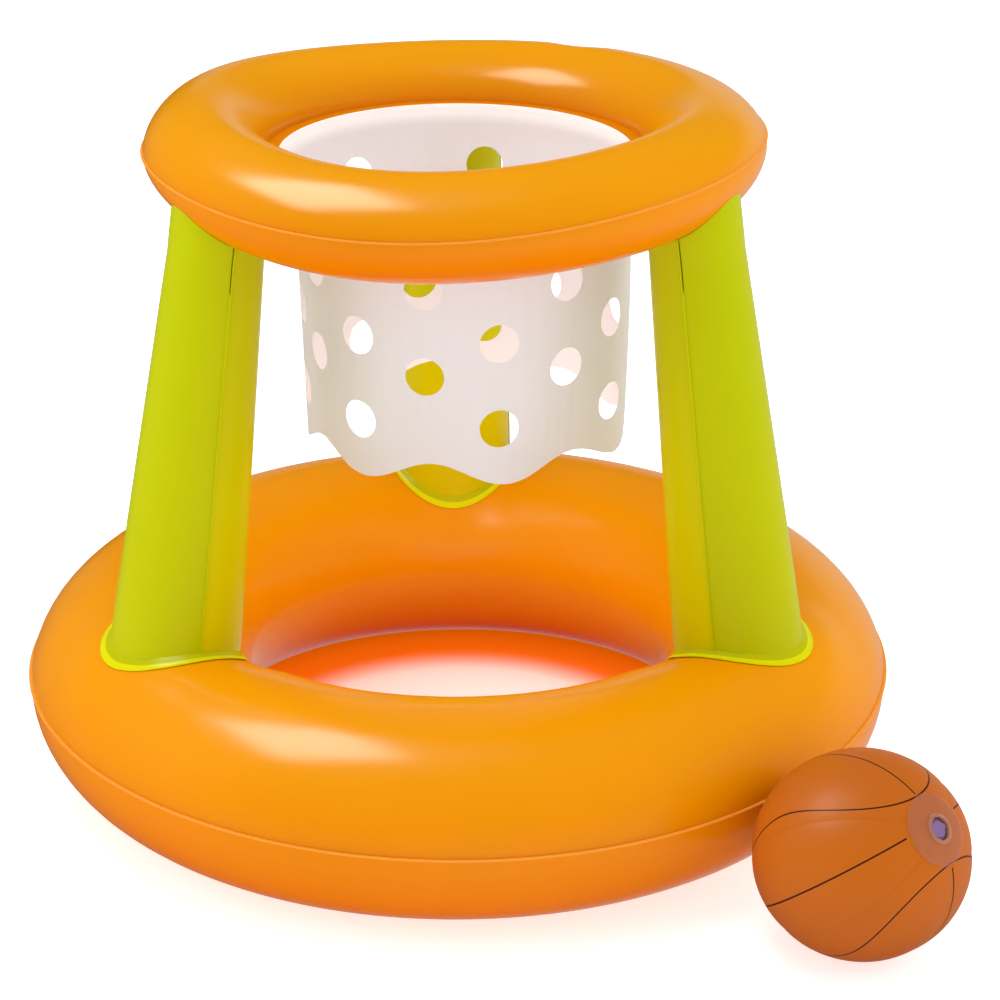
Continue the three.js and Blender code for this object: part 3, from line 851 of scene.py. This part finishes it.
net_top_edge = turned("net_top_edge", [
    (0.1306, 0.49260), (0.1376, 0.49260), (0.1376, 0.49350), (0.1322, 0.49350),
    (0.1322, 0.49610), (0.1306, 0.49610),
], 240)
net_top_edge.location = hoop_axis
settle(net_top_edge)
press(net_top_edge, "BEVEL", width=0.0003, segments=3, limit_method="ANGLE")
smooth(net_top_edge)
# The band has the milky film's painted whiter colour and painted glow
white_band = milky_film("white_band", (0.97, 0.96, 0.95), (0.95, 0.93, 0.92), 1.0)
net_top_edge.data.materials.append(white_band)
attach(net_top_edge, "hoop")
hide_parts("net_top_band")


# The ball is a small inflatable basketball of six gores of tan film, welded pole to pole, with
# thin printed lines. One pole is its valve under a clear round patch, the other a plain cap.
# It stands on the floor by the hoop, squashed a little.
ball_middle = Vector((0.269545, -0.287102, 0.0735))
ball_pole = Vector((
    math.cos(math.radians(35.3)) * math.cos(math.radians(-42.6)),
    math.cos(math.radians(35.3)) * math.sin(math.radians(-42.6)),
    math.sin(math.radians(35.3)),
))
ball_level = Vector((-ball_pole.y, ball_pole.x, 0)).normalized()
ball_up = ball_pole.cross(ball_level)
ball_axes = Matrix((ball_level, ball_up, ball_pole)).transposed().to_4x4()
ball_stand = Matrix.Translation(ball_middle) @ Matrix.Diagonal((1, 1, ball_squash, 1)) @ ball_axes
ball_radius = 0.077
ball_hole_radius = 0.0092
ball_cap_radius = 0.029
ball_cap_stands_off = 0.0006


# Vinyl with thin printed lines: two straight ones that cross at a right angle, and two curved
# ones. The ink is where the angle from a line, seen from the ball's middle, is small.
def printed_vinyl(name, crown, flank, ink):
    material = vinyl(name, crown, flank, 0.01, 0.12, 0.42, 0.12)
    tree = material.node_tree
    skin = tree.nodes["Principled BSDF"]
    plain = skin.inputs["Base Color"].links[0].from_socket

    def value(operation, *given):
        return maths(tree, operation, *given)

    def along(direction, place):
        node = tree.nodes.new("ShaderNodeVectorMath")
        node.operation = "DOT_PRODUCT"
        tree.links.new(place, node.inputs[0])
        node.inputs[1].default_value = direction
        return node.outputs["Value"]

    centred = tree.nodes.new("ShaderNodeMapping")
    centred.vector_type = "POINT"
    centred.inputs["Location"].default_value = (
        -ball_middle.x, -ball_middle.y, -ball_middle.z * ball_stretch,
    )
    centred.inputs["Scale"].default_value = (1, 1, ball_stretch)
    tree.links.new(tree.nodes.new("ShaderNodeTexCoord").outputs["Object"], centred.inputs["Vector"])
    unit = tree.nodes.new("ShaderNodeVectorMath")
    unit.operation = "NORMALIZE"
    tree.links.new(centred.outputs["Vector"], unit.inputs[0])
    place = unit.outputs["Vector"]

    pole, side, top = (0.601, -0.553, 0.578), (0.672, 0.737, 0.007), (-0.476, 0.427, 0.769)
    toward, across, above = along(pole, place), along(side, place), along(top, place)
    latitude = value("ARCSINE", above)
    plane = value("ADD", value("MULTIPLY", toward, toward), value("MULTIPLY", across, across))
    twice = value("SUBTRACT", value("MULTIPLY", toward, toward), value("MULTIPLY", across, across))
    cosine = value("DIVIDE", twice, value("MAXIMUM", plane, 0.0001))
    upper = value("SUBTRACT", math.radians(29.7), value("MULTIPLY", cosine, math.radians(13.7)))
    lower = value("SUBTRACT", math.radians(34.5), value("MULTIPLY", cosine, math.radians(10.5)))
    offs = [
        latitude,
        value("ARCSINE", across),
        value("SUBTRACT", latitude, upper),
        value("ADD", latitude, lower),
    ]
    from_valve = value("ARCCOSINE", along(tuple(ball_pole), place))
    masks = []
    for first, second, stop in ((offs[0], offs[1], 0.385), (offs[2], offs[3], 0.31)):
        nearest = value("MINIMUM", value("ABSOLUTE", first), value("ABSOLUTE", second))
        line = mapped(tree, nearest, (0.0060, 0.0105), (1, 0))
        masks.append(value("MULTIPLY", line, value("GREATER_THAN", from_valve, stop)))
    inked = tree.nodes.new("ShaderNodeMix")
    inked.data_type = "RGBA"
    inked.inputs["B"].default_value = (*ink, 1)
    tree.links.new(plain, inked.inputs["A"])
    tree.links.new(value("MAXIMUM", *masks), inked.inputs["Factor"])
    tree.links.new(inked.outputs["Result"], skin.inputs["Base Color"])
    return material


def ball_gore():
    bpy.ops.mesh.primitive_uv_sphere_add(segments=144, ring_count=96, radius=ball_radius)
    gore = bpy.context.object
    shape(gore)
    first_seam, second_seam = 24.6, 84.6
    for seam, keep in ((first_seam, 1), (second_seam, -1)):
        turn = math.radians(seam)
        normal = Vector((-math.sin(turn), math.cos(turn), 0)) * keep
        bpy.ops.mesh.select_all(action="SELECT")
        bpy.ops.mesh.bisect(plane_co=normal * weld_clearance, plane_no=normal, clear_inner=True)
    for keep in (-1, 1):
        height = -keep * math.sqrt(ball_radius ** 2 - ball_hole_radius ** 2)
        bpy.ops.mesh.select_all(action="SELECT")
        bpy.ops.mesh.bisect(plane_co=(0, 0, height), plane_no=(0, 0, keep), clear_inner=True)
    leave()
    for vertex in gore.data.vertices:
        turn = math.degrees(math.atan2(vertex.co.y, vertex.co.x))
        from_pole = math.hypot(vertex.co.x, vertex.co.y)
        to_seam = math.radians(min(abs(turn - first_seam), abs(second_seam - turn))) * from_pole
        crease = math.exp(-(to_seam / 0.0022) ** 2)
        fullness = 1 - 0.0004 / ball_radius * math.exp(-(to_seam / 0.012) ** 2)
        vertex.co *= fullness - 0.00035 / ball_radius * crease
    return gore


# Its crown and flank colours are painted light and shade: lighter on top, deeper low down
ball_vinyl = printed_vinyl(
    "tan_printed_vinyl", (0.57, 0.135, 0.006), (0.38, 0.080, 0.004), (0.045, 0.010, 0.004),
)
gore_pattern = ball_gore()
for number in range(6):
    gore = gore_pattern.copy()
    gore.data = gore_pattern.data.copy()
    bpy.context.collection.objects.link(gore)
    gore.name = f"ball_gore_{number + 1}"
    gore.data.transform(ball_stand @ Matrix.Rotation(math.radians(60 * number), 4, "Z"))
    for vertex in gore.data.vertices:
        vertex.co.z = max(vertex.co.z, 0)
    press(gore, "SOLIDIFY", thickness=film_wall, offset=-1)
    smooth(gore)
    gore.data.materials.append(ball_vinyl)
    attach(gore, "ball")
    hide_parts(f"ball_panel_{number + 1}")
bpy.data.objects.remove(gore_pattern, do_unlink=True)

bpy.ops.mesh.primitive_uv_sphere_add(
    segments=96, ring_count=120, radius=ball_radius + ball_cap_stands_off,
)
ball_end_cap = bpy.context.object
ball_end_cap.name = "ball_end_cap"
shape(ball_end_cap)
bpy.ops.mesh.select_all(action="SELECT")
cap_edge = -math.sqrt((ball_radius + ball_cap_stands_off) ** 2 - ball_cap_radius ** 2)
bpy.ops.mesh.bisect(plane_co=(0, 0, cap_edge), plane_no=(0, 0, -1), clear_inner=True)
leave()
ball_end_cap.data.transform(ball_stand)
press(ball_end_cap, "SOLIDIFY", thickness=0.0005, offset=-1)
press(ball_end_cap, "BEVEL", width=0.00015, segments=2, limit_method="ANGLE")
smooth(ball_end_cap)
ball_end_cap.data.materials.append(ball_vinyl)
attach(ball_end_cap, "ball")
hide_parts("ball_far_cap")


# Each ring and the ball has a soft clear inflation valve, pushed down into its film: a patch
# welded on, a collar with a well, and in the well a stem, its flap and a stopper with a tab.
def clear_vinyl(name, colour, cover, roughness, passes):
    material, tree, skin, where = new_material(name)
    haze = clouds(tree, where, 130, 2)
    pale = [min(1, share * 1.12) for share in colour]
    tree.links.new(two_colours(tree, haze, colour, pale), skin.inputs["Base Color"])
    tree.links.new(bumps(tree, haze, 0.3, 0.0004), skin.inputs["Normal"])
    skin.inputs["Roughness"].default_value = roughness
    skin.inputs["Transmission Weight"].default_value = passes
    skin.inputs["Alpha"].default_value = cover
    return material


clear_patch = clear_vinyl("clear_patch", (0.56, 0.22, 0.12), 0.22, 0.3, 0.0)
clear_collar = clear_vinyl("clear_collar", (0.62, 0.30, 0.20), 0.4, 0.12, 0.0)
clear_body = clear_vinyl("clear_moulding", (0.34, 0.20, 0.44), 0.85, 0.08, 0.2)
valve_places = {
    "base": ("hoop", base_upper_film, base_ring["valve"], base_ring["valve_axis"]),
    "rim": ("hoop", rim_upper_film, rim_ring["valve"], rim_ring["valve_axis"]),
    "ball": ("ball", None, (0.315801, -0.329641, 0.116261), (0.592627, -0.544949, 0.593148)),
}
collar_profile = [
    (0.0082, 0.0012), (0.0088, 0.0014), (0.0094, 0.0012), (0.0100, 0.0006), (0.0110, 0.0003),
    (0.0110, 0.0000), (0.0094, -0.0005), (0.0092, -0.0030), (0.0092, -0.0150), (0.0082, -0.0150),
]
stem_profile = [
    (0.0032, -0.0130), (0.0079, -0.0130), (0.0079, -0.0110), (0.0060, -0.0110),
    (0.0060, -0.0045), (0.0079, -0.0045), (0.0079, -0.0025), (0.0032, -0.0025),
]
flap_profile = [(0.0001, -0.0139), (0.0046, -0.0139), (0.0046, -0.0133), (0.0001, -0.0133)]
stopper_profile = [
    (0.0001, -0.0082), (0.0024, -0.0082), (0.0029, -0.0052), (0.0029, -0.0022),
    (0.0058, -0.0022), (0.0062, -0.0018), (0.0062, -0.0010), (0.0056, -0.0006),
    (0.0030, -0.0007), (0.0001, -0.0009),
]
for owner, (body, film, place, axis) in valve_places.items():
    z = Vector(axis)
    x = Vector((-z.y, z.x, 0)).normalized()
    stand = Matrix.Translation(place) @ Matrix((x, z.cross(x), z)).transposed().to_4x4()
    outer, inner = 0.0313 if owner == "ball" else 0.020, 0.0096

    patch = flat_ring([outer + (inner - outer) * step / 8 for step in range(9)], 96, 0.01, stand)
    patch.name = f"{owner}_valve_patch_film"
    if film:
        seat(patch, [v.index for v in patch.data.vertices], film, True, 0.0003)
        settle(patch)
    else:
        settle(patch)
        for vertex in patch.data.vertices:
            away = (vertex.co - ball_middle) * Vector((1, 1, ball_stretch))
            away = away.normalized() * (ball_radius + 0.0003)
            vertex.co = ball_middle + away * Vector((1, 1, ball_squash))
    press(patch, "SOLIDIFY", thickness=0.0004, offset=1)
    smooth(patch)
    patch.data.materials.append(clear_patch)

    collar = turned(f"{owner}_valve_collar_ring", collar_profile, 72)
    press(collar, "BEVEL", width=0.00025, segments=2, limit_method="ANGLE")
    stem = turned(f"{owner}_valve_stem_tube", stem_profile, 72)
    press(stem, "BEVEL", width=0.0004, segments=3, limit_method="ANGLE")
    flap = turned(f"{owner}_valve_flap_disc", flap_profile, 48)
    press(flap, "BEVEL", width=0.0002, segments=2, limit_method="ANGLE")
    stopper = turned(f"{owner}_valve_stopper_cap", stopper_profile, 72)
    bpy.ops.mesh.primitive_cube_add(
        size=1, location=(0.0054, 0, -0.0014), scale=(0.0040, 0.0040, 0.0013),
    )
    tab = bpy.context.object
    press(tab, "BEVEL", width=0.0005, segments=3)
    settle(tab)
    only(stopper)
    tab.select_set(True)
    bpy.ops.object.join()
    for piece, part, moves_with, slot in (
        (collar, "collar", body, "clear_film"),
        (stem, "stem", f"{owner}_valve_stem", "clear_moulding"),
        (flap, "flap", f"{owner}_valve_flap", "clear_moulding"),
        (stopper, "stopper", f"{owner}_valve_stopper", "clear_moulding"),
    ):
        piece.matrix_world = stand
        settle(piece)
        smooth(piece)
        piece.data.materials.append(clear_collar if part == "collar" else clear_body)
        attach(piece, moves_with)
        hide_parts(f"{owner}_valve_{part}")
    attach(patch, body)
    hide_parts(f"{owner}_valve_patch")
